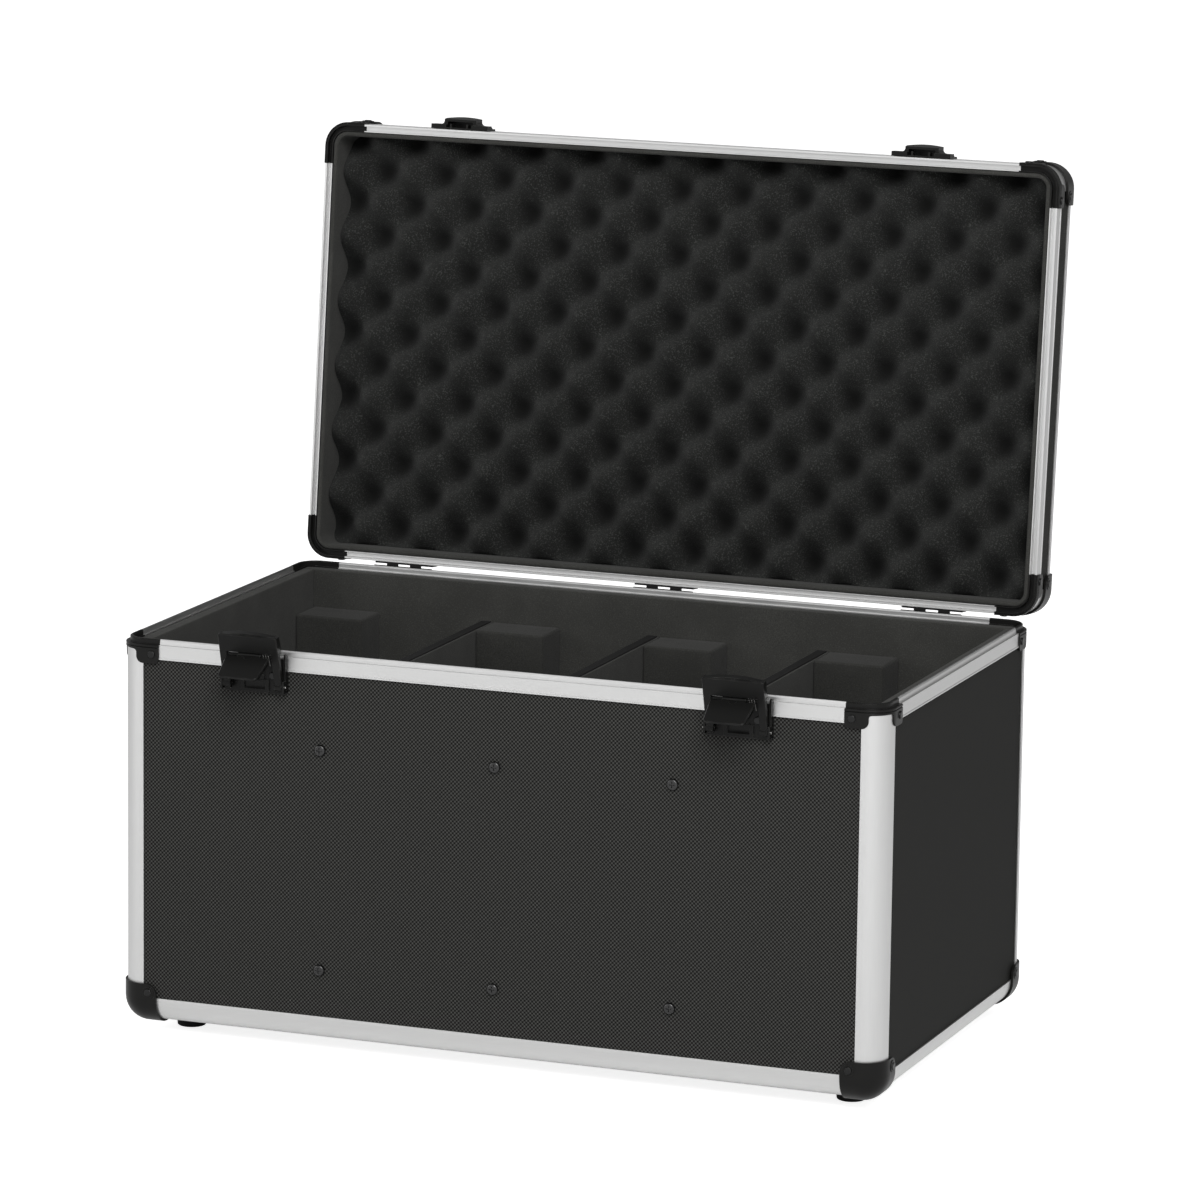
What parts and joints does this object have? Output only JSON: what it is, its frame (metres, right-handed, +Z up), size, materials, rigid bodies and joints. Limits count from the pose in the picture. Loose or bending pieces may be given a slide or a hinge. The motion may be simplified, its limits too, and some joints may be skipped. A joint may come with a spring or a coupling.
{
  "type": "lighting flight case",
  "caption": "Panelled flight case with aluminium edges, foam-lined bays, foam-filled hinged lid, draw latches and feet; lid stands open at rest.",
  "frame": {"origin": "on the ground, under the middle of the body, in the plane of the feet", "axes": "+X to the right along the case's long side, +Y to the back where the hinges are, +Z up"},
  "size_m": [0.6464, 0.5019, 0.6968],
  "materials": {
    "laminated_panel": "black phenolic laminate on plywood, embossed with a fine diamond grid",
    "anodised_aluminium": "satin clear-anodised extrusion",
    "moulded_corner": "black moulded plastic",
    "foam": "closed-cell and egg-crate foam, charcoal",
    "divider_board": "black-faced plywood",
    "foot_rubber": "black rubber",
    "black_screw": "black-oxide steel",
    "fastener_steel": "plain steel",
    "black_latch_steel": "black powder-coated steel",
    "hinge_aluminium": "mill-finish aluminium",
    "handle_plastic": "black moulded plastic"
  },
  "bodies": {
    "body": {"front_panel": "laminated_panel", "back_panel": "laminated_panel", "left_panel": "laminated_panel", "right_panel": "laminated_panel", "bottom_panel": "laminated_panel", "corner_profiles": "anodised_aluminium", "bottom_edge_profiles": "anodised_aluminium", "front_rim_profile": "anodised_aluminium", "back_rim_profile": "anodised_aluminium", "left_rim_profile": "anodised_aluminium", "right_rim_profile": "anodised_aluminium", "bottom_ball_corners": "moulded_corner", "body_rim_corners": "moulded_corner", "front_wall_liner": "foam", "back_wall_liner": "foam", "left_wall_liner": "foam", "right_wall_liner": "foam", "floor_liner": "foam", "divider_1": "divider_board", "divider_2": "divider_board", "divider_3": "divider_board", "divider_facings": "foam", "foam_blocks": "foam", "rubber_feet": "foot_rubber", "foot_screws": "black_screw", "body_rivets": "fastener_steel", "divider_screws": "black_screw", "left_latch_base": "black_latch_steel", "right_latch_base": "black_latch_steel", "latch_base_rivets": "fastener_steel", "latch_frame_pins": "fastener_steel", "hinge_body_leaves": "hinge_aluminium", "hinge_pins": "fastener_steel"},
    "lid": {"lid_top_panel": "laminated_panel", "lid_front_wall": "laminated_panel", "lid_back_wall": "laminated_panel", "lid_left_wall": "laminated_panel", "lid_right_wall": "laminated_panel", "lid_edge_profiles": "anodised_aluminium", "lid_corner_profiles": "anodised_aluminium", "lid_rim_profiles": "anodised_aluminium", "lid_rim_corners": "moulded_corner", "lid_ball_corners": "moulded_corner", "lid_rivets": "fastener_steel", "lid_liner_strip": "foam", "lid_egg_crate_foam": "foam", "latch_keepers": "black_latch_steel", "hinge_lid_leaves": "hinge_aluminium", "handle_brackets": "handle_plastic"},
    "handle": {"handle_grip": "handle_plastic"},
    "left_frame": {"left_latch_frame": "black_latch_steel", "left_lever_pin": "fastener_steel"},
    "left_lever": {"left_latch_lever": "black_latch_steel", "left_lever_spring": "fastener_steel"},
    "right_frame": {"right_latch_frame": "black_latch_steel", "right_lever_pin": "fastener_steel"},
    "right_lever": {"right_latch_lever": "black_latch_steel", "right_lever_spring": "fastener_steel"}
  },
  "joints": [
    {"name": "lid_hinge", "type": "hinge", "parent": "body", "child": "lid", "pos_m": [0, 0.188, 0.32], "axis": [1, 0, 0], "range_deg": [0, 96]},
    {"name": "handle_pivot", "type": "hinge", "parent": "lid", "child": "handle", "pos_m": [0, 0.26919, 0.51659], "axis": [1, 0, 0], "range_deg": [-6, 84]},
    {"name": "left_frame_pivot", "type": "hinge", "parent": "body", "child": "left_frame", "pos_m": [-0.2018, -0.1874, 0.2965], "axis": [1, 0, 0], "range_deg": [-7, 0]},
    {"name": "left_lever_pivot", "type": "hinge", "parent": "left_frame", "child": "left_lever", "pos_m": [-0.2018, -0.19409, 0.32163], "axis": [-1, 0, 0], "range_deg": [-75, 0], "stiffness_Nm_per_rad": 0.01, "springref_deg": 45.84},
    {"name": "right_frame_pivot", "type": "hinge", "parent": "body", "child": "right_frame", "pos_m": [0.2018, -0.1874, 0.2965], "axis": [1, 0, 0], "range_deg": [-7, 0]},
    {"name": "right_lever_pivot", "type": "hinge", "parent": "right_frame", "child": "right_lever", "pos_m": [0.2018, -0.19409, 0.32163], "axis": [-1, 0, 0], "range_deg": [-75, 0], "stiffness_Nm_per_rad": 0.01, "springref_deg": 45.84}
  ]
}
